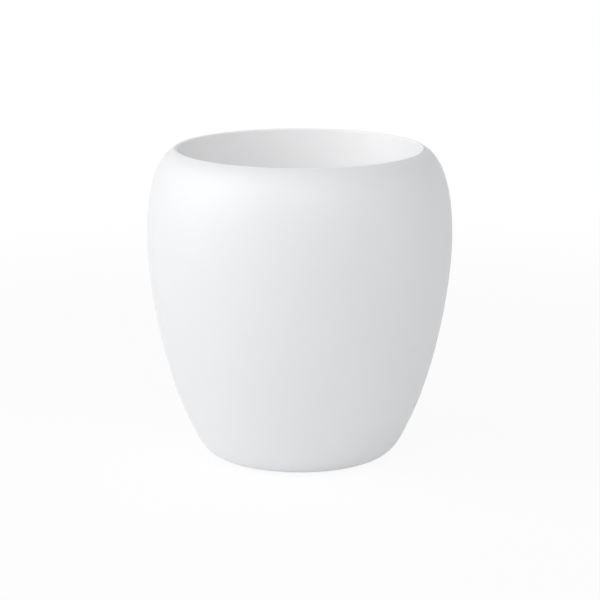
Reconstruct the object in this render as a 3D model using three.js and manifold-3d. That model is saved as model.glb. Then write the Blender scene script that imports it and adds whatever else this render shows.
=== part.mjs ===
// Planter pot: a curved outer shell, and an inner pot that stands in it on hollow legs and lifts out.
// Millimetres, +Z up. The origin is on the ground, at the centre of the base.
import * as THREE from 'three';
import { mergeVertices } from 'three/addons/utils/BufferGeometryUtils.js';
import Module from 'manifold-3d';

const wasm = await Module();
wasm.setup();

// Outer shell, with heights measured from its own underside
const BODY_HEIGHT = 357;
const BELLY_DIAMETER = 350;
const BELLY_HEIGHT = 255;
const MOUTH_DIAMETER = 285.4;
const RIM_SLOPE = 26.7; // degrees from the horizontal, where the shoulder meets the rim
const HEEL_DIAMETER = 257;
const HEEL_HEIGHT = 39.6;
const HEEL_SLOPE = 64.5; // degrees from the horizontal
const FOOT_DIAMETER = 182;
const SHELL_WALL = 3;
const RIM_ROUND = 0.5;
const COLLAR_DEPTH = 14;

// How full each stretch of the outline is: its two handles, as shares of the stretch's own chord
const HEEL_FULLNESS = [0.38, 0.38];
const FLANK_FULLNESS = [0.315, 0.245];
const SHOULDER_FULLNESS = [0.445, 0.25];

// Base of the shell: a foot ring round a raised floor, with the drain hole at its centre
const BASE_THICKNESS = 4.5;
const FOOT_RING_WIDTH = 15;
const FLOOR_RISE = 6.5;
const FLOOR_DRAFT = 4;
const DRAIN_HOLE_DIAMETER = 22;

// Inner pot
const RIM_CLEARANCE = 0.35;
const POT_WALL = 2;
const POT_RIM_EDGE = 0.3; // rounding of the rim's outer edge, and its inner edge takes the rest
const POT_FLOOR_DIAMETER = 238;
const POT_CORNER_RADIUS = 14;
const POT_FLOOR_THICKNESS = 2.5;
const SEAT_GAP = 0.3;

// Hollow legs under the inner pot, which stand on the shell's floor and hold soil down in the water
const LEG_COUNT = 4;
const LEG_CIRCLE_DIAMETER = 108;
const LEG_HEIGHT = 50;
const LEG_TOP_DIAMETER = 37;
const LEG_FOOT_DIAMETER = 27;
const LEG_WALL = 2;
const LEG_SLOT_WIDTH = 3;
const LEG_SLOT_SILL = 5;
const LEG_SLOT_HEAD = 13;

// Drain holes in the inner pot's floor: one in the middle, and two circles of them
const POT_HOLE_DIAMETER = 9;
const MIDDLE_HOLE_CIRCLE_DIAMETER = 108;
const OUTER_HOLE_CIRCLE_DIAMETER = 184;
const OUTER_HOLE_COUNT = 8;

// Finger holes through the inner pot's wall, one on each side, to lift it by
const FINGER_HOLE_WIDTH = 72;
const FINGER_HOLE_HEIGHT = 22;
const FINGER_HOLE_DROP = 37; // from the rim down to the hole's middle

// Drain plug and its seal, pushed into the shell's floor from above
const PLUG_CLEARANCE = 0.35;
const PLUG_STEM_TAPER = 0.9;
const PLUG_STEM_PROUD = 2.5;
const PLUG_STEM_WALL = 2.75;
const PLUG_CORE_DEPTH = 7; // the stem is hollow from below
const PLUG_HEAD_OVERHANG = 1.5;
const PLUG_HEAD_THICKNESS = 3;
const PLUG_HEAD_ROUND = 1.2;
const PLUG_GRIP_LENGTH = 24;
const PLUG_GRIP_THICKNESS = 4;
const PLUG_GRIP_HEIGHT = 13;
const SEAL_WIDTH = 4.5;
const SEAL_THICKNESS = 2;

// Foot pads, set in pockets under the foot ring
const PAD_COUNT = 4;
const PAD_DIAMETER = 11;
const PAD_THICKNESS = 3;
const PAD_PROUD = 1.5;
const PAD_EDGE = 0.4;
const PAD_CLEARANCE = 0.3;

// Facets round a turned piece, and along the shell's outline
const WALL_FACETS = 72;
const PLUG_FACETS = 32;
const LEG_FACETS = 24;
const HOLE_FACETS = 16;
const HEEL_STEPS = 5;
const FLANK_STEPS = 6;
const SHOULDER_STEPS = 7;
const CUTTER_REACH = 2; // how far a cutter runs past what it cuts

// Heights above the ground
const shellBase = PAD_PROUD;
const rimTop = shellBase + BODY_HEIGHT;
const floorUnderside = shellBase + FLOOR_RISE;
const floorTop = floorUnderside + BASE_THICKNESS;
const legFoot = floorTop + SEAT_GAP;
const potFloorUnderside = legFoot + LEG_HEIGHT;
const potFloorTop = potFloorUnderside + POT_FLOOR_THICKNESS;

// The rim turns down into a collar, and the inner pot's rim stands inside the collar
const rimSlope = THREE.MathUtils.degToRad(RIM_SLOPE);
const collarRadius = MOUTH_DIAMETER / 2 - RIM_ROUND * (1 + Math.sin(rimSlope));
const potRimRadius = collarRadius - RIM_CLEARANCE;

// Circles round the axis, and the turn that sets the first of four copies between +X and +Y
const padCircle = FOOT_DIAMETER / 2 - FOOT_RING_WIDTH / 2;
const legCircle = LEG_CIRCLE_DIAMETER / 2;
const halfPadTurn = Math.PI / PAD_COUNT;
const halfLegTurn = Math.PI / LEG_COUNT;

// A point of a half section: distance from the axis, then height
function at(radius, height) {
  return new THREE.Vector2(radius, height);
}

function heading(degrees) {
  const angle = THREE.MathUtils.degToRad(degrees);
  return at(Math.cos(angle), Math.sin(angle));
}

// A curve that leaves one point and reaches the next along given headings
function stretch(start, startHeading, end, endHeading, [startShare, endShare]) {
  const chord = start.distanceTo(end);
  const startHandle = start.clone().addScaledVector(startHeading, startShare * chord);
  const endHandle = end.clone().addScaledVector(endHeading, -endShare * chord);
  return new THREE.CubicBezierCurve(start, startHandle, endHandle, end);
}

// Points of an arc between two angles in degrees, both ends included
function arc(centre, radius, from, to, steps) {
  const points = [];
  for (let step = 0; step <= steps; step += 1) {
    const angle = from + ((to - from) * step) / steps;
    points.push(centre.clone().addScaledVector(heading(angle), radius));
  }
  return points;
}

function revolve(points, facets) {
  return new THREE.LatheGeometry(points, facets).rotateX(Math.PI / 2);
}

// A revolved section that doesn't reach the axis, and closes on itself
function revolveRing(points, facets) {
  return revolve([...points, points[0].clone()], facets);
}

// A cylinder or a cone along the axis
function taper(bottomRadius, topRadius, bottom, top, facets) {
  return revolve([at(0, bottom), at(bottomRadius, bottom), at(topRadius, top), at(0, top)], facets);
}

// Copies of a shape, evenly round the axis
function circleOf(geometry, count, circleRadius, firstTurn = 0) {
  return Array.from({ length: count }, (_, index) => {
    const turn = firstTurn + (2 * Math.PI * index) / count;
    return geometry.clone().translate(circleRadius, 0, 0).rotateZ(turn);
  });
}

// A closed mesh as a solid that can be joined and cut, without the flat triangles at its poles
function toSolid(geometry) {
  const bare = geometry.clone();
  bare.deleteAttribute('normal');
  bare.deleteAttribute('uv');
  const merged = mergeVertices(bare);
  const corners = merged.index.array;
  const triVerts = [];
  for (let first = 0; first < corners.length; first += 3) {
    const [a, b, c] = corners.slice(first, first + 3);
    if (a !== b && b !== c && c !== a) triVerts.push(a, b, c);
  }
  const vertProperties = merged.attributes.position.array;
  const mesh = { numProp: 3, vertProperties, triVerts: new Uint32Array(triVerts) };
  return new wasm.Manifold(new wasm.Mesh(mesh));
}

function toGeometry(solid) {
  const { vertProperties, triVerts } = solid.getMesh();
  const geometry = new THREE.BufferGeometry();
  geometry.setAttribute('position', new THREE.BufferAttribute(vertProperties, 3));
  geometry.setIndex(new THREE.BufferAttribute(triVerts, 1));
  geometry.computeVertexNormals();
  return geometry;
}

function join(solid, geometries) {
  return geometries.reduce((whole, geometry) => whole.add(toSolid(geometry)), solid);
}

function cut(solid, geometries) {
  return geometries.reduce((whole, geometry) => whole.subtract(toSolid(geometry)), solid);
}

// The outside of the shell's wall from the foot to the rim, and its inside, one wall further in
function shellWall() {
  const up = heading(90);
  const heelHeading = heading(HEEL_SLOPE);
  const rimHeading = heading(180 - RIM_SLOPE);
  const foot = at(FOOT_DIAMETER / 2, shellBase);
  const heel = at(HEEL_DIAMETER / 2, shellBase + HEEL_HEIGHT);
  const belly = at(BELLY_DIAMETER / 2, shellBase + BELLY_HEIGHT);
  const rim = at(MOUTH_DIAMETER / 2, rimTop - RIM_ROUND * (1 - Math.cos(rimSlope)));
  const stretches = [
    [stretch(foot, heading(0), heel, heelHeading, HEEL_FULLNESS), HEEL_STEPS],
    [stretch(heel, heelHeading, belly, up, FLANK_FULLNESS), FLANK_STEPS],
    [stretch(belly, up, rim, rimHeading, SHOULDER_FULLNESS), SHOULDER_STEPS],
  ];
  const outside = [foot];
  const inside = [];
  for (const [curve, steps] of stretches) {
    for (let step = 1; step <= steps; step += 1) {
      const point = curve.getPoint(step / steps);
      const tangent = curve.getTangent(step / steps);
      outside.push(point);
      inside.push(at(point.x - tangent.y * SHELL_WALL, point.y + tangent.x * SHELL_WALL));
    }
  }
  return { outside, inside };
}

// The inside of the wall, from just above the base up to where it runs into the back of the collar
function insideUpToCollar(inside, collarBack) {
  const aboveBase = inside.filter((point) => point.y > shellBase + BASE_THICKNESS);
  const crossing = aboveBase.findIndex(
    (point) => point.x < collarBack && point.y > shellBase + BELLY_HEIGHT,
  );
  const below = aboveBase[crossing - 1];
  const share = (below.x - collarBack) / (below.x - aboveBase[crossing].x);
  const meeting = below.clone().lerp(aboveBase[crossing], share);
  return [...aboveBase.slice(0, crossing), meeting];
}

// One moulding: foot ring, heel, belly and shoulder, a crisp rim, and a collar down inside the mouth
function outerShell() {
  const { outside, inside } = shellWall();
  const ringInner = FOOT_DIAMETER / 2 - FOOT_RING_WIDTH;
  const collarBack = collarRadius + SHELL_WALL;
  const collarFoot = rimTop - COLLAR_DEPTH;
  const holeRadius = DRAIN_HOLE_DIAMETER / 2;
  const rimCentre = at(collarRadius + RIM_ROUND, rimTop - RIM_ROUND);
  const section = [
    at(holeRadius, floorUnderside),
    at(ringInner - FLOOR_DRAFT, floorUnderside),
    at(ringInner, shellBase),
    ...outside.slice(0, -1),
    ...arc(rimCentre, RIM_ROUND, 90 - RIM_SLOPE, 180, 4),
    at(collarRadius, collarFoot),
    at(collarBack, collarFoot),
    ...insideUpToCollar(inside, collarBack).reverse(),
    at(FOOT_DIAMETER / 2, shellBase + BASE_THICKNESS),
    at(ringInner + SHELL_WALL, shellBase + BASE_THICKNESS),
    at(ringInner - FLOOR_DRAFT + SHELL_WALL, floorTop),
    at(holeRadius, floorTop),
  ];
  const pocketRadius = PAD_DIAMETER / 2 + PAD_CLEARANCE;
  const pocketTop = PAD_THICKNESS + PAD_CLEARANCE;
  const pocket = taper(pocketRadius, pocketRadius, shellBase - CUTTER_REACH, pocketTop, LEG_FACETS);
  const moulding = toSolid(revolveRing(section, WALL_FACETS));
  return toGeometry(cut(moulding, circleOf(pocket, PAD_COUNT, padCircle, halfPadTurn)));
}

// A tapered bucket with a rim rounded inwards and a rounded corner at its floor
function bucket() {
  const rimRound = POT_WALL - POT_RIM_EDGE;
  const edgeCentre = at(potRimRadius - POT_RIM_EDGE, rimTop - POT_RIM_EDGE);
  const lean = Math.atan2(potRimRadius - POT_FLOOR_DIAMETER / 2, edgeCentre.y - potFloorUnderside);
  const roundX = edgeCentre.x - (rimRound - POT_RIM_EDGE) * Math.tan(lean);
  const draft = THREE.MathUtils.radToDeg(lean);
  const cornerRun = POT_CORNER_RADIUS * Math.tan(Math.PI / 4 - lean / 2);
  const cornerX = POT_FLOOR_DIAMETER / 2 - cornerRun;
  const innerCorner = POT_CORNER_RADIUS - POT_WALL;
  const section = [
    at(0, potFloorUnderside),
    ...arc(at(cornerX, potFloorUnderside + POT_CORNER_RADIUS), POT_CORNER_RADIUS, -90, -draft, 6),
    ...arc(edgeCentre, POT_RIM_EDGE, -draft, 90, 3),
    ...arc(at(roundX, rimTop - rimRound), rimRound, 90, 180 - draft, 6),
    ...arc(at(cornerX, potFloorTop + innerCorner), innerCorner, -draft, -90, 6),
    at(0, potFloorTop),
  ];
  return toSolid(revolve(section, WALL_FACETS));
}

// A slot with round ends for fingers, as a bar along X that passes through both sides of the pot
function fingerCutter() {
  const half = FINGER_HOLE_HEIGHT / 2;
  const straight = FINGER_HOLE_WIDTH / 2 - half;
  const slot = new THREE.Shape();
  slot.absarc(straight, 0, half, -Math.PI / 2, Math.PI / 2);
  slot.absarc(-straight, 0, half, Math.PI / 2, (3 * Math.PI) / 2);
  const depth = BELLY_DIAMETER;
  const bar = new THREE.ExtrudeGeometry(slot, { depth, bevelEnabled: false, curveSegments: 8 });
  bar.translate(0, 0, -depth / 2).rotateX(Math.PI / 2).rotateZ(Math.PI / 2);
  return bar.translate(0, 0, rimTop - FINGER_HOLE_DROP);
}

// The two crossed slots that let water into a leg
function legSlots() {
  const height = LEG_HEIGHT - LEG_SLOT_SILL - LEG_SLOT_HEAD;
  const slot = new THREE.BoxGeometry(LEG_SLOT_WIDTH, LEG_TOP_DIAMETER + CUTTER_REACH, height);
  slot.translate(0, 0, legFoot + LEG_SLOT_SILL + height / 2);
  return [slot, slot.clone().rotateZ(Math.PI / 2)];
}

function innerPot() {
  const footRadius = LEG_FOOT_DIAMETER / 2;
  const topRadius = LEG_TOP_DIAMETER / 2;
  const wellFoot = legFoot + LEG_WALL;
  const above = potFloorTop + CUTTER_REACH;
  const below = potFloorUnderside - CUTTER_REACH;
  const middleOfFloor = potFloorUnderside + POT_FLOOR_THICKNESS / 2;
  const leg = taper(footRadius, topRadius, legFoot, middleOfFloor, LEG_FACETS);
  const well = taper(footRadius - LEG_WALL, topRadius - LEG_WALL, wellFoot, above, LEG_FACETS);
  const hole = taper(POT_HOLE_DIAMETER / 2, POT_HOLE_DIAMETER / 2, below, above, HOLE_FACETS);
  const withLegs = join(bucket(), circleOf(leg, LEG_COUNT, legCircle, halfLegTurn));
  const cutters = [
    hole,
    fingerCutter(),
    ...circleOf(hole, LEG_COUNT, MIDDLE_HOLE_CIRCLE_DIAMETER / 2),
    ...circleOf(hole, OUTER_HOLE_COUNT, OUTER_HOLE_CIRCLE_DIAMETER / 2, Math.PI / OUTER_HOLE_COUNT),
    ...circleOf(well, LEG_COUNT, legCircle, halfLegTurn),
    ...legSlots().flatMap((slot) => circleOf(slot, LEG_COUNT, legCircle, halfLegTurn)),
  ];
  return toGeometry(cut(withLegs, cutters));
}

// A flat grip with a round crown, standing on the plug's head
function plugGrip(headTop) {
  const half = PLUG_GRIP_LENGTH / 2;
  const crown = PLUG_GRIP_HEIGHT - half / 2;
  const outline = new THREE.Shape();
  outline.moveTo(-half, -PLUG_HEAD_THICKNESS / 2);
  outline.lineTo(half, -PLUG_HEAD_THICKNESS / 2);
  outline.lineTo(half, crown);
  outline.absellipse(0, crown, half, half / 2, 0, Math.PI);
  const depth = PLUG_GRIP_THICKNESS;
  const grip = new THREE.ExtrudeGeometry(outline, { depth, bevelEnabled: false, curveSegments: 6 });
  return grip.translate(0, 0, -depth / 2).rotateX(Math.PI / 2).translate(0, 0, headTop);
}

// A round head over a tapered stem, which is hollow from below
function drainPlug() {
  const stemRadius = DRAIN_HOLE_DIAMETER / 2 - PLUG_CLEARANCE;
  const stemFoot = floorUnderside - PLUG_STEM_PROUD;
  const stemFootRadius = stemRadius - PLUG_STEM_TAPER;
  const coreRadius = stemFootRadius - PLUG_STEM_WALL;
  const coreTop = stemFoot + PLUG_CORE_DEPTH;
  const headBase = floorTop + SEAL_THICKNESS + 2 * SEAT_GAP;
  const headTop = headBase + PLUG_HEAD_THICKNESS;
  const headRadius = DRAIN_HOLE_DIAMETER / 2 + SEAL_WIDTH + PLUG_HEAD_OVERHANG;
  const edgeCentre = at(headRadius - PLUG_HEAD_ROUND, headTop - PLUG_HEAD_ROUND);
  const section = [
    at(0, coreTop),
    at(coreRadius, coreTop),
    at(coreRadius, stemFoot),
    at(stemFootRadius, stemFoot),
    at(stemRadius, floorTop),
    at(stemRadius, headBase),
    at(headRadius, headBase),
    ...arc(edgeCentre, PLUG_HEAD_ROUND, 0, 90, 4),
    at(0, headTop),
  ];
  return toGeometry(join(toSolid(revolve(section, PLUG_FACETS)), [plugGrip(headTop)]));
}

// A flat washer with a round edge, between the plug's head and the shell's floor
function drainPlugSeal() {
  const bore = DRAIN_HOLE_DIAMETER / 2;
  const bottom = floorTop + SEAT_GAP;
  const edge = SEAL_THICKNESS / 2;
  const section = [
    at(bore, bottom),
    ...arc(at(bore + SEAL_WIDTH - edge, bottom + edge), edge, -90, 90, 4),
    at(bore, bottom + SEAL_THICKNESS),
  ];
  return revolveRing(section, PLUG_FACETS);
}

// A round pad with a broken lower edge
function footPad() {
  const radius = PAD_DIAMETER / 2;
  const section = [
    at(0, 0),
    at(radius - PAD_EDGE, 0),
    at(radius, PAD_EDGE),
    at(radius, PAD_THICKNESS),
    at(0, PAD_THICKNESS),
  ];
  return revolve(section, LEG_FACETS);
}

function finish(color, roughness) {
  return new THREE.MeshStandardMaterial({ color, roughness, metalness: 0 });
}

function piece(name, geometry, material) {
  const mesh = new THREE.Mesh(geometry, material);
  mesh.name = name;
  return mesh;
}

const planter = new THREE.Group();
planter.add(piece('outer_shell', outerShell(), finish('#eaebed', 0.42)));
planter.add(piece('inner_pot', innerPot(), finish('#fbfafc', 0.5)));
planter.add(piece('drain_plug', drainPlug(), finish('#b9bdc1', 0.45)));
planter.add(piece('drain_plug_seal', drainPlugSeal(), finish('#2b2c2e', 0.8)));
for (let index = 0; index < PAD_COUNT; index += 1) {
  const turn = halfPadTurn + (2 * Math.PI * index) / PAD_COUNT;
  const pad = piece(`foot_pad_${index + 1}`, footPad(), finish('#6d6f72', 0.85));
  pad.position.set(padCircle * Math.cos(turn), padCircle * Math.sin(turn), 0);
  pad.rotation.z = turn;
  planter.add(pad);
}

export default planter;
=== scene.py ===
"""A white planter pot: an outer shell, an inner pot that lifts out, a drain plug and rubber foot pads."""
import math

import bmesh
import bpy
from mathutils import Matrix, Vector


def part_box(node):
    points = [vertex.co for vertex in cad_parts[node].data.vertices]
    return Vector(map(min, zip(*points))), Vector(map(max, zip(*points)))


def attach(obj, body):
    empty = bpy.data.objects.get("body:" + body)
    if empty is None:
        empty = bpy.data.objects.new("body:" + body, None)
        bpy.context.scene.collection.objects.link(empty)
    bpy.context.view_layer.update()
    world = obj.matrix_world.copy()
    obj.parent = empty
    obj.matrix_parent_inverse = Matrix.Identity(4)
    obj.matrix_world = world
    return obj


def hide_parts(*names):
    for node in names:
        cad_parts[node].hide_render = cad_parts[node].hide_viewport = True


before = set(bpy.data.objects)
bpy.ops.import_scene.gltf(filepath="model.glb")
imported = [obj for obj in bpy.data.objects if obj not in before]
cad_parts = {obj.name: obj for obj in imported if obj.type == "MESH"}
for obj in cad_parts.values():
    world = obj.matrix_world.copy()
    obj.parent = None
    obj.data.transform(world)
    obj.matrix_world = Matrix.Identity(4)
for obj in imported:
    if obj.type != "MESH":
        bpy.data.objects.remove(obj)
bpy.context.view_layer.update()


# The camera stands where the photograph's did: in front, a little above the rim, 2.6 m away with
# a long lens. It aims at the middle of the shell's height, a hair to the right of the axis.
mm = 0.001
shell_low, shell_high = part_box("outer_shell")
camera_elevation = math.radians(13.12)
camera_distance = 2576 * mm
focal_length = 133.57
aim_right = 0.35 * mm

aim = Vector((aim_right, 0, (shell_low.z + shell_high.z) / 2))
back = Vector((0, -math.cos(camera_elevation), math.sin(camera_elevation)))
camera = bpy.data.objects.new("camera", bpy.data.cameras.new("camera"))
camera.data.lens = focal_length
camera.data.sensor_width = 36
camera.location = aim + back * camera_distance
camera.rotation_euler = (math.pi / 2 - camera_elevation, 0, 0)
bpy.context.scene.collection.objects.link(camera)
bpy.context.scene.camera = camera
bpy.context.scene.view_settings.view_transform = "Standard"


# The floor is a plain white paper sweep. The camera, and what shines or lets light through, sees it
# as white, with the pot's shadow kept faint near the pot, as in a picture cut out on white.
floor_size = 24.0
floor_white = "#fafafa"
shadow_share = 0.09
shadow_reach = 700 * mm
shadow_end = 1600 * mm


def linear(hex_colour):
    """The linear colour that an sRGB hex value stands for, with alpha 1."""
    channels = [int(hex_colour[place:place + 2], 16) / 255 for place in (1, 3, 5)]
    return [c / 12.92 if c <= 0.04045 else ((c + 0.055) / 1.055) ** 2.4 for c in channels] + [1.0]


def add(tree, kind, links=None, **settings):
    """Adds a node, sets its settings, and links or sets its inputs by name or number."""
    made = tree.nodes.new(kind)
    for name, value in settings.items():
        setattr(made, name, value)
    for key, value in (links or {}).items():
        if isinstance(value, bpy.types.NodeSocket):
            tree.links.new(value, made.inputs[key])
        else:
            made.inputs[key].default_value = value
    return made


def new_material(name):
    """An empty material, and its node tree."""
    material = bpy.data.materials.new(name)
    material.use_nodes = True
    material.node_tree.nodes.clear()
    return material, material.node_tree


def seen_directly(tree):
    """1 where a camera, mirror or glass ray arrives, and 0 for the light that the surface gives."""
    path = add(tree, "ShaderNodeLightPath")
    both = add(tree, "ShaderNodeMath", {0: path.outputs["Is Camera Ray"], 1: path.outputs["Is Glossy Ray"]},
               operation="MAXIMUM")
    return add(tree, "ShaderNodeMath", {0: both.outputs[0], 1: path.outputs["Is Transmission Ray"]},
               operation="MAXIMUM").outputs[0]


sweep_paper, tree = new_material("white_sweep_paper")
from_pot = add(tree, "ShaderNodeVectorMath", {0: add(tree, "ShaderNodeTexCoord").outputs["Object"]},
               operation="LENGTH")
fade = add(tree, "ShaderNodeMapRange", {"Value": from_pot.outputs["Value"], "From Min": shadow_reach,
                                        "From Max": shadow_end, "To Min": shadow_share, "To Max": 0.0},
           interpolation_type="SMOOTHSTEP")
lit = add(tree, "ShaderNodeBsdfDiffuse", {"Color": linear(floor_white)})
white = add(tree, "ShaderNodeEmission", {"Color": (1, 1, 1, 1), "Strength": 1.0})
shaded = add(tree, "ShaderNodeMixShader", {0: fade.outputs[0], 1: white.outputs[0], 2: lit.outputs[0]})
paper = add(tree, "ShaderNodeMixShader", {0: seen_directly(tree), 1: lit.outputs[0], 2: shaded.outputs[0]})
add(tree, "ShaderNodeOutputMaterial", {"Surface": paper.outputs[0]})

half = floor_size / 2
floor_corners = [(-half, -half, 0), (half, -half, 0), (half, half, 0), (-half, half, 0)]
floor_mesh = bpy.data.meshes.new("floor")
floor_mesh.from_pydata(floor_corners, [], [(0, 1, 2, 3)])
floor_mesh.materials.append(sweep_paper)
floor = bpy.data.objects.new("floor", floor_mesh)
bpy.context.scene.collection.objects.link(floor)


# The light is soft: large round panels 5 m away, two on the left, one above the camera and a weak
# one on the right, and an even white surround that fills the shadows.
surround_strength = 0.365
lamp_distance = 5.2
lamp_size = 4.8
lamps = {
    "left_low": dict(azimuth=-85, elevation=26, power=90.0),
    "left_high": dict(azimuth=-55, elevation=36, power=78.0),
    "front_high": dict(azimuth=8, elevation=34, power=68.0),
    "right_low": dict(azimuth=75, elevation=14, power=30.0),
}

world = bpy.data.worlds.new("studio")
world.use_nodes = True
tree = world.node_tree
tree.nodes.clear()
surround = add(tree, "ShaderNodeBackground", {"Color": (1, 1, 1, 1), "Strength": surround_strength})
background = add(tree, "ShaderNodeBackground", {"Color": (1, 1, 1, 1), "Strength": 1.0})
sky = add(tree, "ShaderNodeMixShader", {0: seen_directly(tree), 1: surround.outputs[0],
                                        2: background.outputs[0]})
add(tree, "ShaderNodeOutputWorld", {"Surface": sky.outputs[0]})
bpy.context.scene.world = world

for name, lamp in lamps.items():
    light = bpy.data.lights.new(name, "AREA")
    light.shape = "DISK"
    light.size = lamp_size
    light.energy = lamp["power"]
    azimuth, elevation = math.radians(lamp["azimuth"]), math.radians(lamp["elevation"])
    towards = Vector((math.sin(azimuth) * math.cos(elevation), -math.cos(azimuth) * math.cos(elevation),
                      math.sin(elevation)))
    holder = bpy.data.objects.new(name, light)
    holder.location = aim + towards * lamp_distance
    holder.rotation_euler = towards.to_track_quat("Z", "Y").to_euler()
    bpy.context.scene.collection.objects.link(holder)


# The outer shell is one moulding in white polyethylene, about 3 mm thick. Its rim turns in and
# down into a short collar. Its foot ring has four pockets for pads, round a raised floor with the
# drain hole.
wall = 3 * mm
longest_step = 6 * mm
belly = Vector((shell_high.x, shell_low.z + 255 * mm))
mouth_radius = 142.7 * mm
rim_slope = 26.7
rim_round = 0.5 * mm
rim_steps = 10
heel = Vector((128.5 * mm, shell_low.z + 39.6 * mm))
heel_slope = 64.5
foot_radius = 91 * mm
foot_pull, foot_steps = (0.38, 0.38), 18
flank_pull, flank_steps = (0.315, 0.245), 28
shoulder_pull, shoulder_steps = (0.445, 0.25), 32
collar_depth = 14 * mm
collar_round = 1.4 * mm
ring_width = 15 * mm
ring_round = 1.5 * mm
floor_rise = 6.5 * mm
floor_draft = 4 * mm
floor_round = 2 * mm
base_thickness = 4.5 * mm
hole_radius = 11 * mm
hole_edge = 0.5 * mm
pocket_clearance = 0.3 * mm
pocket_round = 0.3 * mm
pocket_facets = 64
shell_facets = 240

pad_low, pad_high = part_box("foot_pad_1")
pad_nodes = [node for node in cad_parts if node.startswith("foot_pad")]
pad_count = len(pad_nodes)
pad_circle = Vector((pad_low.x + pad_high.x, pad_low.y + pad_high.y)).length / 2
pad_radius = (pad_high.x - pad_low.x) / 2
first_of_four = math.radians(45)

shell_base = shell_low.z
rim_top = shell_high.z
floor_underside = shell_base + floor_rise
floor_top = floor_underside + base_thickness
ring_inner = foot_radius - ring_width
collar_radius = mouth_radius - rim_round * (1 + math.sin(math.radians(rim_slope)))


def heading(degrees):
    """The direction at an angle from straight out, in a half section."""
    return Vector((math.cos(math.radians(degrees)), math.sin(math.radians(degrees))))


def stretch(start, start_heading, end, end_heading, pull, steps):
    """Points and headings along a curve that leaves start and reaches end along given headings. The
    pull at each end, a share of the distance, says how far the curve follows that heading."""
    chord = (end - start).length
    a, d = start, end
    b = start + start_heading * pull[0] * chord
    c = end - end_heading * pull[1] * chord
    along = []
    for step in range(1, steps + 1):
        t = step / steps
        s = 1 - t
        point = a * s ** 3 + b * 3 * s * s * t + c * 3 * s * t * t + d * t ** 3
        slope = (b - a) * s * s + (c - b) * 2 * s * t + (d - c) * t * t
        along.append((point, slope.normalized()))
    return along


def arc(centre, radius, start, end, steps):
    """Points along an arc between two angles in degrees."""
    turn = (end - start) / steps
    return [Vector(centre) + heading(start + turn * step) * radius for step in range(steps + 1)]


def rounded(corners, steps=6):
    """A line through (distance from the axis, height, rounding) corners, with each corner rounded."""
    places = [Vector(corner[:2]) for corner in corners]
    line = [places[0]]
    for before, here, after, corner in zip(places, places[1:], places[2:], corners[1:]):
        if corner[2] == 0:
            line.append(here)
            continue
        back_way, way_on = (before - here).normalized(), (after - here).normalized()
        half_angle = back_way.angle(way_on) / 2
        centre = here + (back_way + way_on).normalized() * corner[2] / math.sin(half_angle)
        first = here + back_way * corner[2] / math.tan(half_angle) - centre
        last = here + way_on * corner[2] / math.tan(half_angle) - centre
        start = math.degrees(math.atan2(first.y, first.x))
        line += arc(centre, corner[2], start, start - math.degrees(first.angle_signed(last)), steps)
    return line + [places[-1]]


def spaced(line, longest):
    """The same line with points added, so that no step along it is longer than longest."""
    finer = [line[0]]
    for start, end in zip(line, line[1:]):
        steps = max(1, math.ceil((end - start).length / longest))
        finer += [start.lerp(end, step / steps) for step in range(1, steps + 1)]
    return finer


def turning_tree():
    """Geometry Nodes that turn a half section, a line in the XZ plane, into a solid of revolution."""
    tree = bpy.data.node_groups.new("turn_section", "GeometryNodeTree")
    for socket, kind in (("Section", "Geometry"), ("Facets", "Int"), ("Weld Distance", "Float"),
                         ("Material", "Material")):
        tree.interface.new_socket(socket, in_out="INPUT", socket_type="NodeSocket" + kind)
    tree.interface.new_socket("Solid", in_out="OUTPUT", socket_type="NodeSocketGeometry")
    given = add(tree, "NodeGroupInput").outputs
    size = add(tree, "GeometryNodeAttributeDomainSize", {"Geometry": given["Section"]}, component="MESH")
    columns = add(tree, "ShaderNodeMath", {0: given["Facets"], 1: 1.0}, operation="ADD")
    grid = add(tree, "GeometryNodeMeshGrid", {"Vertices X": size.outputs["Point Count"],
                                              "Vertices Y": columns.outputs[0]})
    index = add(tree, "GeometryNodeInputIndex")
    row = add(tree, "ShaderNodeMath", {0: index.outputs[0], 1: columns.outputs[0]}, operation="DIVIDE")
    row = add(tree, "ShaderNodeMath", {0: row.outputs[0]}, operation="FLOOR")
    column = add(tree, "ShaderNodeMath", {0: index.outputs[0], 1: columns.outputs[0]}, operation="MODULO")
    part_turn = add(tree, "ShaderNodeMath", {0: column.outputs[0], 1: given["Facets"]}, operation="DIVIDE")
    angle = add(tree, "ShaderNodeMath", {0: part_turn.outputs[0], 1: math.tau}, operation="MULTIPLY")
    place = add(tree, "GeometryNodeInputPosition")
    sampled = add(tree, "GeometryNodeSampleIndex", {"Geometry": given["Section"], "Value": place.outputs[0],
                                                    "Index": row.outputs[0]}, data_type="FLOAT_VECTOR")
    swung = add(tree, "ShaderNodeVectorRotate", {"Vector": sampled.outputs[0], "Angle": angle.outputs[0]},
                rotation_type="Z_AXIS")
    placed = add(tree, "GeometryNodeSetPosition", {"Geometry": grid.outputs["Mesh"],
                                                   "Position": swung.outputs[0]})
    welded = add(tree, "GeometryNodeMergeByDistance", {"Geometry": placed.outputs[0],
                                                       "Distance": given["Weld Distance"]})
    real = add(tree, "GeometryNodeRealizeInstances", {0: welded.outputs[0]})
    finished = add(tree, "GeometryNodeSetMaterial", {"Geometry": real.outputs[0],
                                                     "Material": given["Material"]})
    add(tree, "NodeGroupOutput", {"Solid": finished.outputs[0]})
    return tree


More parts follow.
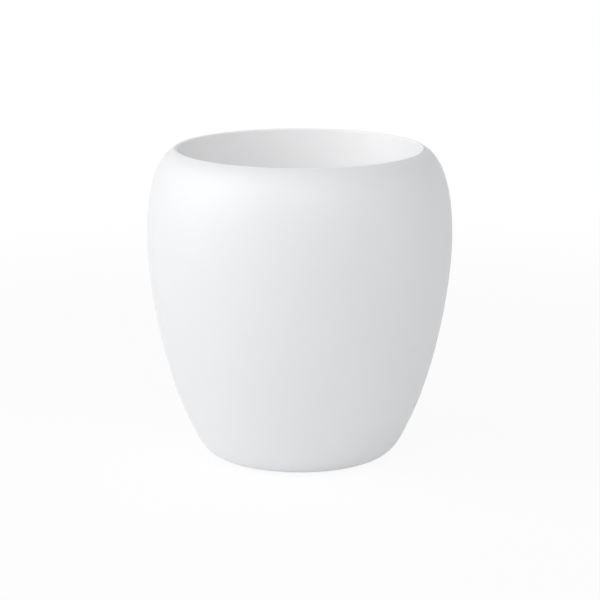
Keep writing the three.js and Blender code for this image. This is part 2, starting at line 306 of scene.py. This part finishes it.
def ring_tree(name, features):
    """Geometry Nodes that set copies of other solids on circles round the axis, facing outwards, and
    join each circle of them to the body or cut it out."""
    tree = bpy.data.node_groups.new(name, "GeometryNodeTree")
    sockets = [("Body", "Geometry"), ("Material", "Material")]
    for feature in features:
        sockets += [(feature, "Object"), (feature + " Count", "Int"), (feature + " Circle", "Float"),
                    (feature + " First Turn", "Float")]
    for socket, kind in sockets:
        tree.interface.new_socket(socket, in_out="INPUT", socket_type="NodeSocket" + kind)
    tree.interface.new_socket("Solid", in_out="OUTPUT", socket_type="NodeSocketGeometry")
    given = add(tree, "NodeGroupInput").outputs
    shape = given["Body"]
    for feature, operation in features.items():
        copy = add(tree, "GeometryNodeObjectInfo", {"Object": given[feature]})
        index = add(tree, "GeometryNodeInputIndex")
        share = add(tree, "ShaderNodeMath", {0: index.outputs[0], 1: given[feature + " Count"]},
                    operation="DIVIDE")
        turn = add(tree, "ShaderNodeMath", {0: share.outputs[0], 1: math.tau,
                                            2: given[feature + " First Turn"]}, operation="MULTIPLY_ADD")
        outwards = add(tree, "ShaderNodeCombineXYZ", {"X": given[feature + " Circle"]})
        place = add(tree, "ShaderNodeVectorRotate", {"Vector": outwards.outputs[0], "Angle": turn.outputs[0]},
                    rotation_type="Z_AXIS")
        points = add(tree, "GeometryNodePoints", {"Count": given[feature + " Count"],
                                                  "Position": place.outputs[0]})
        facing = add(tree, "ShaderNodeCombineXYZ", {"Z": turn.outputs[0]})
        copies = add(tree, "GeometryNodeInstanceOnPoints", {"Points": points.outputs[0],
                                                            "Instance": copy.outputs["Geometry"],
                                                            "Rotation": facing.outputs[0]})
        ring = add(tree, "GeometryNodeRealizeInstances", {0: copies.outputs[0]})
        work = add(tree, "GeometryNodeMeshBoolean", {1: ring.outputs[0]}, operation=operation,
                   solver="MANIFOLD")
        tree.links.new(shape, work.inputs[1 if operation == "UNION" else 0])
        shape = work.outputs[0]
    real = add(tree, "GeometryNodeRealizeInstances", {0: shape})
    finished = add(tree, "GeometryNodeSetMaterial", {"Geometry": real.outputs[0],
                                                     "Material": given["Material"]})
    add(tree, "NodeGroupOutput", {"Solid": finished.outputs[0]})
    return tree


def run_tree(name, tree, source, **inputs):
    """A plain mesh object with what a tree makes of a source mesh, with the tree's inputs by name."""
    maker = bpy.data.objects.new(name + "_maker", source)
    bpy.context.scene.collection.objects.link(maker)
    modifier = maker.modifiers.new("make", "NODES")
    modifier.node_group = tree
    for socket in tree.interface.items_tree:
        key = socket.name.lower().replace(" ", "_")
        if socket.in_out == "INPUT" and key in inputs:
            modifier[socket.identifier] = inputs[key]
    evaluated = maker.evaluated_get(bpy.context.evaluated_depsgraph_get())
    mesh = bpy.data.meshes.new_from_object(evaluated)
    bpy.data.objects.remove(maker)
    mesh.name = name
    if len(mesh.materials) > 1:
        mesh.materials.pop(index=0)
    face_out(mesh)
    made = bpy.data.objects.new(name, mesh)
    bpy.context.scene.collection.objects.link(made)
    return made


def face_out(mesh, sharp_angle=35, sliver=0.001 * mm):
    """Turns a mesh's faces outwards, removes slivers, and shades it smooth up to a sharp angle."""
    shape = bmesh.new()
    shape.from_mesh(mesh)
    bmesh.ops.dissolve_degenerate(shape, dist=sliver, edges=shape.edges)
    bmesh.ops.recalc_face_normals(shape, faces=shape.faces)
    shape.to_mesh(mesh)
    shape.free()
    mesh.shade_smooth()
    mesh.set_sharp_from_angle(angle=math.radians(sharp_angle))


def turned(name, line, facets, material=None):
    """A solid of revolution from a half section given as points."""
    section = bpy.data.meshes.new(name + "_section")
    section.from_pydata([(p.x, 0, p.y) for p in line], [(i, i + 1) for i in range(len(line) - 1)], [])
    return run_tree(name, turn_tree, section, facets=facets, weld_distance=0.005 * mm, material=material)


def ringed(name, body, material, features):
    """A body with rings of other solids joined or cut: name: (operation, solid, count, circle, turn)."""
    inputs = {"material": material}
    for feature, (operation, solid, count, circle, first_turn) in features.items():
        key = feature.lower().replace(" ", "_")
        inputs.update({key: solid, key + "_count": count, key + "_circle": float(circle),
                       key + "_first_turn": float(first_turn)})
    tree = ring_tree(name, {feature: values[0] for feature, values in features.items()})
    made = run_tree(name, tree, body.data, **inputs)
    for solid in {body} | {values[1] for values in features.values()}:
        bpy.data.objects.remove(solid)
    made.modifiers.new("flat_faces_stay_flat", "WEIGHTED_NORMAL").keep_sharp = True
    return made


def finish_piece(piece, body, slot, *nodes):
    """Hides the CAD parts that a piece stands for, and attaches it to the body that it moves with. The slot
    is not used.
    """
    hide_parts(*nodes)
    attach(piece, body)


def moulded_plastic(name, colour, roughness, grain, unevenness):
    """Moulded plastic: the tool's fine grain makes it satin, a faint ripple from cooling bends its
    highlights, and its tone and gloss drift slowly, with slight scuffs from handling. The real grain
    is about 0.1 mm, too fine to show, so it is drawn coarser. A little light passes under the skin."""
    drift_size, gloss_drift = 110 * mm, 0.03
    scuff_size, scuff_dulling = 14 * mm, 0.05
    ripple_size, ripple_depth = 7 * mm, 0.15 * mm
    grain_depth, light_depth = 0.12 * mm, 1 * mm
    material, tree = new_material(name)
    place = add(tree, "ShaderNodeTexCoord").outputs["Object"]
    drift = add(tree, "ShaderNodeTexNoise", {"Vector": place, "Scale": 1 / drift_size, "Detail": 3.0})
    tone = add(tree, "ShaderNodeMapRange", {"Value": drift.outputs[0], "From Min": 0.3, "From Max": 0.7,
                                            "To Min": 1 - unevenness, "To Max": 1.0})
    base = add(tree, "ShaderNodeMix", {0: 1.0, 6: linear(colour), 7: tone.outputs[0]},
               data_type="RGBA", blend_type="MULTIPLY")
    handled = add(tree, "ShaderNodeTexNoise", {"Vector": place, "Scale": 1 / scuff_size, "Detail": 6.0})
    scuffs = add(tree, "ShaderNodeMapRange", {"Value": handled.outputs[0], "From Min": 0.5, "From Max": 0.75,
                                              "To Min": 0.0, "To Max": scuff_dulling})
    gloss = add(tree, "ShaderNodeMapRange", {"Value": drift.outputs[0], "From Min": 0.25, "From Max": 0.75,
                                             "To Min": roughness - gloss_drift,
                                             "To Max": roughness + gloss_drift})
    dulled = add(tree, "ShaderNodeMath", {0: gloss.outputs[0], 1: scuffs.outputs[0]}, operation="ADD")
    ripple = add(tree, "ShaderNodeTexNoise", {"Vector": place, "Scale": 1 / ripple_size, "Detail": 2.0})
    waves = add(tree, "ShaderNodeBump", {"Strength": 0.5, "Distance": ripple_depth,
                                         "Height": ripple.outputs[0]})
    pits = add(tree, "ShaderNodeTexNoise", {"Vector": place, "Scale": 1 / grain, "Detail": 2.0})
    grained = add(tree, "ShaderNodeBump", {"Strength": 0.7, "Distance": grain_depth,
                                           "Height": pits.outputs[0], "Normal": waves.outputs[0]})
    skin = add(tree, "ShaderNodeBsdfPrincipled", {
        "Base Color": base.outputs[2], "Roughness": dulled.outputs[0], "IOR": 1.5,
        "Normal": grained.outputs[0], "Subsurface Weight": 0.12, "Subsurface Scale": light_depth,
        "Subsurface Radius": (1.0, 1.0, 1.0)})
    add(tree, "ShaderNodeOutputMaterial", {"Surface": skin.outputs[0]})
    return material


turn_tree = turning_tree()

# Polyethylene from a fine textured mould: a cool, soft white whose lights spread wide.
shell_white = moulded_plastic("satin_polyethylene_moulded", "#eaebed", 0.42, grain=0.6 * mm,
                              unevenness=0.015)

# The outside rises from the foot over the heel to the belly, its widest point, and in to the rim.
rim = Vector((mouth_radius, rim_top - rim_round * (1 - math.cos(math.radians(rim_slope)))))
foot = Vector((foot_radius, shell_base))
outline = (
    stretch(foot, heading(0), heel, heading(heel_slope), foot_pull, foot_steps)
    + stretch(heel, heading(heel_slope), belly, heading(90), flank_pull, flank_steps)
    + stretch(belly, heading(90), rim, heading(180 - rim_slope), shoulder_pull, shoulder_steps)
)

# The wall's inner face follows the outside as far as the collar's back, and ends at the floor.
collar_back = collar_radius + wall
inside = [point + Vector((-way.y, way.x)) * wall for point, way in outline]
inside = [p for p in inside if p.y > shell_base + base_thickness]
inside = [p for p in inside if p.x > collar_back or p.y < belly.y]
under = rounded([
    (hole_radius, floor_top - base_thickness / 2, 0),
    (hole_radius, floor_underside, hole_edge),
    (ring_inner - floor_draft, floor_underside, floor_round),
    (ring_inner, shell_base, ring_round),
    (foot_radius, shell_base, 0),
])
rim_centre = (collar_radius + rim_round, rim_top - rim_round)
rim_arc = arc(rim_centre, rim_round, 90 - rim_slope, 180, rim_steps)
collar = rounded([
    (collar_radius, rim_top - collar_depth / 2, 0),
    (collar_radius, rim_top - collar_depth, collar_round),
    (collar_back, rim_top - collar_depth, collar_round),
    (collar_back, inside[-1].y, 0),
])
floor_inside = rounded([
    (foot_radius, shell_base + base_thickness, 0),
    (ring_inner + wall, shell_base + base_thickness, floor_round),
    (ring_inner - floor_draft + wall, floor_top, floor_round),
    (hole_radius, floor_top, hole_edge),
    (hole_radius, floor_top - base_thickness / 2, 0),
])

# Joined end to end, these are one closed half section.
outside = [point for point, way in outline]
section = spaced(under + outside[:-1] + rim_arc + collar + inside[::-1] + floor_inside, longest_step)

# Each pad's pocket is a little wider and deeper than the pad.
pocket_top = pad_high.z + pocket_clearance
pocket = turned("pad_pocket", rounded([
    (0, pocket_top, 0),
    (pad_radius + pocket_clearance, pocket_top, pocket_round),
    (pad_radius + pocket_clearance, shell_base - wall, 0),
    (0, shell_base - wall, 0),
])[::-1], pocket_facets)
shell_body = turned("shell_body", section, shell_facets)
outer_shell = ringed("outer_shell_moulding", shell_body, shell_white, {
    "Pad Pocket": ("DIFFERENCE", pocket, pad_count, pad_circle, first_of_four),
})
finish_piece(outer_shell, "shell", "shell_plastic", "outer_shell")


# The inner pot is one injection moulding in white polypropylene, 2 mm thick. It stands on four
# hollow legs that hold soil down in the water, and its rim lies flush inside the shell's collar.
# Drain holes pierce its floor, and a finger hole with a rolled edge pierces each side to lift it by.
pot_low, pot_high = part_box("inner_pot")
pot_wall = 2 * mm
pot_rim_edge = 0.3 * mm
pot_rim_round = 1.7 * mm
pot_floor_radius = 119 * mm
pot_floor_thickness = 2.5 * mm
pot_corner = 14 * mm
pot_corner_steps = 12
pot_edge_steps = 6
pot_longest_step = 9 * mm
pot_facets = 240
leg_height = 50 * mm
leg_circle = 54 * mm
leg_count = 4
leg_top_radius = 18.5 * mm
leg_foot_radius = 13.5 * mm
leg_flare = 3 * mm
leg_foot_round = 1.5 * mm
leg_facets = 72
well_flare = 2.2 * mm
slot_width = 3 * mm
slot_sill = 5 * mm
slot_head = 13 * mm
slot_end_turns = (0.15, 0.5, 0.9, 1.3, math.pi / 2)
drain_radius = 4.5 * mm
drain_edge = 0.7 * mm
drain_facets = 40
middle_circle = 54 * mm
middle_count = 4
outer_circle = 92 * mm
outer_count = 8
finger_width = 72 * mm
finger_height = 22 * mm
finger_drop = 37 * mm
finger_edge_step = 3 * mm
finger_bead = 1.4 * mm
finger_bead_sides = 16
finger_count = 2
finger_cut_inwards = 20 * mm
finger_cut_outwards = 5 * mm
cutter_reach = 2 * mm

# Polypropylene from a matt mould, flatter than the shell. Its white is painted lighter than the shell's:
# painted light that keeps the hollow as bright as the outside, where less light reaches it.
pot_white_painted_bright = moulded_plastic("matt_polypropylene_moulded", "#fcfcfd", 0.5, grain=0.5 * mm,
                            unevenness=0.02)

pot_underside = pot_low.z + leg_height
pot_floor_top = pot_underside + pot_floor_thickness
edge_centre = Vector((pot_high.x - pot_rim_edge, pot_high.z - pot_rim_edge))
lean = math.atan2(pot_high.x - pot_floor_radius, edge_centre.y - pot_underside)
round_centre = Vector((edge_centre.x - (pot_rim_round - pot_rim_edge) * math.tan(lean),
                       pot_high.z - pot_rim_round))

# The bucket's wall leans out by its draft, to a rim that is rounded on its inner edge.
draft = math.degrees(lean)
corner_x = pot_floor_radius - pot_corner * math.tan(math.pi / 4 - lean / 2)
inner_corner = pot_corner - pot_wall
bucket = turned("bucket", spaced(
    [Vector((0, pot_underside))]
    + arc((corner_x, pot_underside + pot_corner), pot_corner, -90, -draft, pot_corner_steps)
    + arc(edge_centre, pot_rim_edge, -draft, 90, pot_edge_steps)
    + arc(round_centre, pot_rim_round, 90, 180 - draft, pot_corner_steps)
    + arc((corner_x, pot_floor_top + inner_corner), inner_corner, -draft, -90, pot_corner_steps)
    + [Vector((0, pot_floor_top))], pot_longest_step), pot_facets)

# A leg flares where it meets the floor, and the well inside it has a rounded mouth.
middle_of_floor = pot_underside + pot_floor_thickness / 2
leg = turned("leg", [Vector((0, middle_of_floor))] + rounded([
    (leg_top_radius + leg_flare, middle_of_floor, 0),
    (leg_top_radius + leg_flare, pot_underside, 0),
    (leg_top_radius, pot_underside, leg_flare),
    (leg_foot_radius, pot_low.z, leg_foot_round),
    (0, pot_low.z, 0),
]), leg_facets)
well = turned("well", [Vector((0, pot_floor_top + cutter_reach))] + rounded([
    (leg_top_radius - pot_wall + well_flare, pot_floor_top + cutter_reach, 0),
    (leg_top_radius - pot_wall + well_flare, pot_floor_top, 0),
    (leg_top_radius - pot_wall, pot_floor_top, well_flare),
    (leg_foot_radius - pot_wall, pot_low.z + pot_wall, leg_foot_round),
    (0, pot_low.z + pot_wall, 0),
]), leg_facets)
drain = turned("drain", [Vector((0, pot_underside - cutter_reach))] + rounded([
    (drain_radius + drain_edge, pot_underside - cutter_reach, 0),
    (drain_radius + drain_edge, pot_underside, 0),
    (drain_radius, pot_underside, drain_edge),
    (drain_radius, pot_floor_top, drain_edge),
    (drain_radius + drain_edge, pot_floor_top, 0),
    (drain_radius + drain_edge, pot_floor_top + cutter_reach, 0),
    (0, pot_floor_top + cutter_reach, 0),
]), drain_facets)


def loft(name, rings):
    """A closed solid through rings of as many points each, with flat ends."""
    count = len(rings[0])
    last = (len(rings) - 1) * count
    faces = [tuple(range(count)), tuple(range(last, last + count))]
    for first in range(0, last, count):
        for index in range(count):
            after = (index + 1) % count
            faces.append((first + index, first + after, first + count + after, first + count + index))
    mesh = bpy.data.meshes.new(name)
    mesh.from_pydata([point for ring in rings for point in ring], [], faces)
    face_out(mesh)
    made = bpy.data.objects.new(name, mesh)
    bpy.context.scene.collection.objects.link(made)
    return made


def cross(reach, half_width, height):
    """The outline of two crossed bars, at one height."""
    corner = [(reach, -half_width), (reach, half_width), (half_width, half_width)]
    turns = [(1, 0), (0, 1), (-1, 0), (0, -1)]
    return [(x * c - y * s, x * s + y * c, height) for c, s in turns for x, y in corner]


# The water slots cross in each leg and have round ends.
slot_low, slot_high = pot_low.z + slot_sill, pot_underside - slot_head
slot_round = slot_width / 2
levels = [(slot_low + slot_round - slot_round * math.cos(turn), math.sin(turn))
          for turn in slot_end_turns]
levels += [(slot_low + slot_high - height, share) for height, share in reversed(levels)]
leg_slots = loft("leg_slots", [cross(leg_top_radius + cutter_reach, slot_round * share, height)
                               for height, share in levels])


def slot_outline(width, height, steps=14):
    """The outline of a slot with round ends, as distances across and up from its middle."""
    half_height = height / 2
    straight = width / 2 - half_height
    return (arc((straight, 0), half_height, -90, 90, steps)
            + arc((-straight, 0), half_height, 90, 270, steps))


def bead_tree():
    """Geometry Nodes that lay a round bead along a path."""
    tree = bpy.data.node_groups.new("bead_along_edge", "GeometryNodeTree")
    for socket, kind in (("Path", "Geometry"), ("Bead Radius", "Float"), ("Sides", "Int"),
                         ("Material", "Material")):
        tree.interface.new_socket(socket, in_out="INPUT", socket_type="NodeSocket" + kind)
    tree.interface.new_socket("Bead", in_out="OUTPUT", socket_type="NodeSocketGeometry")
    given = add(tree, "NodeGroupInput").outputs
    path = add(tree, "GeometryNodeMeshToCurve", {"Mesh": given["Path"]})
    circle = add(tree, "GeometryNodeCurvePrimitiveCircle", {"Resolution": given["Sides"],
                                                            "Radius": given["Bead Radius"]})
    swept = add(tree, "GeometryNodeCurveToMesh", {"Curve": path.outputs[0],
                                                  "Profile Curve": circle.outputs[0]})
    real = add(tree, "GeometryNodeRealizeInstances", {0: swept.outputs[0]})
    finished = add(tree, "GeometryNodeSetMaterial", {"Geometry": real.outputs[0],
                                                     "Material": given["Material"]})
    add(tree, "NodeGroupOutput", {"Bead": finished.outputs[0]})
    return tree


# The finger hole's edge is cut along the middle line of the bead that rolls round it.
edge = spaced(slot_outline(finger_width + 2 * finger_bead, finger_height + 2 * finger_bead),
              finger_edge_step)
edge_height = rim_top - finger_drop


def middle_of_wall(across, height):
    """The point in the middle of the bucket's wall, at a distance across and a height."""
    radius = pot_high.x - pot_wall / 2 - (edge_centre.y - height) * math.tan(lean)
    return math.sqrt(radius ** 2 - across ** 2), across, height


finger_cut = loft("finger_cut", [
    [(x, p.x, edge_height + p.y) for p in edge]
    for x in (pot_high.x - finger_cut_inwards, pot_high.x + finger_cut_outwards)
])
path = bpy.data.meshes.new("finger_edge")
path.from_pydata([middle_of_wall(p.x, edge_height + p.y) for p in edge],
                 [(index, (index + 1) % len(edge)) for index in range(len(edge))], [])
bead = run_tree("finger_bead", bead_tree(), path, bead_radius=finger_bead, sides=finger_bead_sides)

inner_pot = ringed("inner_pot_moulding", bucket, pot_white_painted_bright, {
    "Leg": ("UNION", leg, leg_count, leg_circle, first_of_four),
    "Soil Well": ("DIFFERENCE", well, leg_count, leg_circle, first_of_four),
    "Water Slots": ("DIFFERENCE", leg_slots, leg_count, leg_circle, first_of_four),
    "Centre Drain": ("DIFFERENCE", drain, 1, 0, 0),
    "Middle Drain": ("DIFFERENCE", drain, middle_count, middle_circle, 0),
    "Outer Drain": ("DIFFERENCE", drain, outer_count, outer_circle, math.pi / outer_count),
    "Finger Hole": ("DIFFERENCE", finger_cut, finger_count, 0, 0),
    "Finger Bead": ("UNION", bead, finger_count, 0, 0),
})
finish_piece(inner_pot, "inner_pot", "inner_pot_plastic", "inner_pot")


# The drain plug is a small solid moulding in light grey polypropylene: a tapered stem in the
# shell's drain hole, a round head over the seal, and a flat grip to pull it by.
plug_low, plug_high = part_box("drain_plug")
seal_low, seal_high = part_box("drain_plug_seal")
plug_clearance = 0.35 * mm
stem_taper = 0.9 * mm
seat_gap = seal_low.z - floor_top
head_thickness = 3 * mm
head_round = 1.2 * mm
head_edge = 0.4 * mm
stem_round = 0.8 * mm
core_radius = 7 * mm
core_depth = 7 * mm
core_draft = 0.4 * mm
core_round = 0.8 * mm
core_edge = 0.5 * mm
grip_length = 24 * mm
grip_thickness = 4 * mm
grip_corner = 1.6 * mm
grip_fillet = 1.2 * mm
grip_root_corner = 2.6 * mm
grip_root_depth = 1 * mm
grip_crown = 6 * mm
grip_thinning = 1 * mm
plug_facets = 96

# Polypropylene coloured grey right through: a pale, cool grey with a low sheen.
plug_grey = moulded_plastic("grey_polypropylene_moulded", "#b9bdc1", 0.45, grain=0.4 * mm,
                            unevenness=0.02)

stem_radius = hole_radius - plug_clearance
head_base = seal_high.z + seat_gap
head_top = head_base + head_thickness
plug_body = turned("plug_body", rounded([
    (0, plug_low.z + core_depth, 0),
    (core_radius - core_draft, plug_low.z + core_depth, core_round),
    (core_radius, plug_low.z, core_edge),
    (stem_radius - stem_taper, plug_low.z, stem_round),
    (stem_radius, floor_top, 0),
    (stem_radius, head_base, head_edge),
    (plug_high.x, head_base, head_edge),
    (plug_high.x, head_top, head_round),
    (0, head_top, 0),
]), plug_facets)


def rounded_bar(half_length, half_thickness, corner, height, steps=6):
    """The outline of a flat bar with rounded corners, at one height."""
    corner = min(corner, half_length, half_thickness)
    across, along = half_thickness - corner, half_length - corner
    centres = [(along, across), (-along, across), (-along, -across), (along, -across)]
    places = []
    for centre, start in zip(centres, (0, 90, 180, 270)):
        places += arc(centre, corner, start, start + 90, steps)
    return [(place.x, place.y, height) for place in places]


# The grip is built up in level outlines: a root inside the head, a fillet, and a rounded crown.
crown_above_head = plug_high.z - head_top - grip_crown
grip_rings = [rounded_bar(grip_length / 2 + grip_fillet, grip_thickness / 2 + grip_fillet,
                          grip_root_corner, head_top - grip_root_depth)]
for turn in range(0, 90, 20):
    spread = grip_fillet * (1 - math.sin(math.radians(turn)))
    height = grip_fillet * (1 - math.cos(math.radians(turn)))
    grip_rings.append(rounded_bar(grip_length / 2 + spread, grip_thickness / 2 + spread,
                                  grip_corner + spread, head_top + height))
for turn in range(0, 90, 6):
    lift = grip_crown * math.sin(math.radians(turn))
    reach = grip_length / 2 * math.cos(math.radians(turn))
    thin = grip_thinning * (1 - math.cos(math.radians(turn))) ** 2
    grip_rings.append(rounded_bar(reach, grip_thickness / 2 - thin, grip_corner,
                                  head_top + crown_above_head + lift))
grip = loft("grip", grip_rings)
drain_plug = ringed("drain_plug_moulding", plug_body, plug_grey, {"Grip": ("UNION", grip, 1, 0, 0)})
finish_piece(drain_plug, "drain_plug", "plug_plastic", "drain_plug")


# The plug's seal is a flat washer moulded in black EPDM rubber, with a round outer edge. It sits on
# the stem under the head, which presses it on the shell's floor.
seal_edge = (seal_high.z - seal_low.z) / 2
seal_bore_edge = 0.4 * mm
seal_edge_steps = 12
seal_facets = 96


def moulded_rubber(name, colour, roughness, grain, bloom):
    """Moulded rubber: dull and finely pebbled by the tool, with a pale bloom in patches. The real
    pebbles are about 0.1 mm, too fine to show, so they are drawn coarser."""
    patch_size, gloss_drift = 5.5 * mm, 0.06
    bloom_grey = "#8d8e8c"
    pebble_depth = 0.06 * mm
    material, tree = new_material(name)
    place = add(tree, "ShaderNodeTexCoord").outputs["Object"]
    patches = add(tree, "ShaderNodeTexNoise", {"Vector": place, "Scale": 1 / patch_size, "Detail": 4.0})
    share = add(tree, "ShaderNodeMapRange", {"Value": patches.outputs[0], "From Min": 0.45, "From Max": 0.75,
                                             "To Min": 0.0, "To Max": bloom})
    base = add(tree, "ShaderNodeMix", {0: share.outputs[0], 6: linear(colour), 7: linear(bloom_grey)},
               data_type="RGBA")
    dull = add(tree, "ShaderNodeMapRange", {"Value": patches.outputs[0], "From Min": 0.3, "From Max": 0.7,
                                            "To Min": roughness - gloss_drift,
                                            "To Max": roughness + gloss_drift})
    pebbles = add(tree, "ShaderNodeTexVoronoi", {"Vector": place, "Scale": 1 / grain})
    bump = add(tree, "ShaderNodeBump", {"Strength": 0.4, "Distance": pebble_depth,
                                        "Height": pebbles.outputs[0]})
    skin = add(tree, "ShaderNodeBsdfPrincipled", {"Base Color": base.outputs[2], "Roughness": dull.outputs[0],
                                                  "IOR": 1.52, "Normal": bump.outputs[0]})
    add(tree, "ShaderNodeOutputMaterial", {"Surface": skin.outputs[0]})
    return material


# EPDM rubber: near black and dull, with faint pale patches where the bloom has come out.
seal_black = moulded_rubber("black_epdm_moulded", "#2b2c2e", 0.72, grain=0.45 * mm, bloom=0.15)

seal = turned("drain_plug_seal_ring", rounded([
    (hole_radius, seal_low.z + seal_edge, 0),
    (hole_radius, seal_low.z, seal_bore_edge),
    (seal_high.x - seal_edge, seal_low.z, 0),
]) + arc((seal_high.x - seal_edge, seal_low.z + seal_edge), seal_edge, -90, 90, seal_edge_steps) + rounded([
    (seal_high.x - seal_edge, seal_high.z, 0),
    (hole_radius, seal_high.z, seal_bore_edge),
    (hole_radius, seal_low.z + seal_edge, 0),
]), seal_facets, seal_black)
finish_piece(seal, "drain_plug", "seal_rubber", "drain_plug_seal")


# The four foot pads are moulded in grey thermoplastic rubber and pushed into their pockets. A
# groove round the underside of each keeps it from creeping on a wet floor.
pad_edge = 0.4 * mm
groove_radius = 3.2 * mm
groove_depth = 0.4 * mm
groove_edge = 0.15 * mm
pad_facets = 64

# Thermoplastic rubber: a mid grey with hardly any shine, a little paler in patches.
pad_grey = moulded_rubber("grey_thermoplastic_rubber_moulded", "#6d6f72", 0.8, grain=0.5 * mm, bloom=0.1)

pad = turned("pad", rounded([
    (0, pad_low.z, 0),
    (groove_radius - groove_depth, pad_low.z, groove_edge),
    (groove_radius, pad_low.z + groove_depth, groove_edge),
    (groove_radius + groove_depth, pad_low.z, groove_edge),
    (pad_radius, pad_low.z, pad_edge),
    (pad_radius, pad_high.z, pad_edge),
    (0, pad_high.z, 0),
]), pad_facets)
no_body = bpy.data.objects.new("no_body", bpy.data.meshes.new("no_body"))
foot_pads = ringed("foot_pads", no_body, pad_grey, {
    "Pad": ("UNION", pad, pad_count, pad_circle, first_of_four),
})
finish_piece(foot_pads, "shell", "pad_rubber", *pad_nodes)
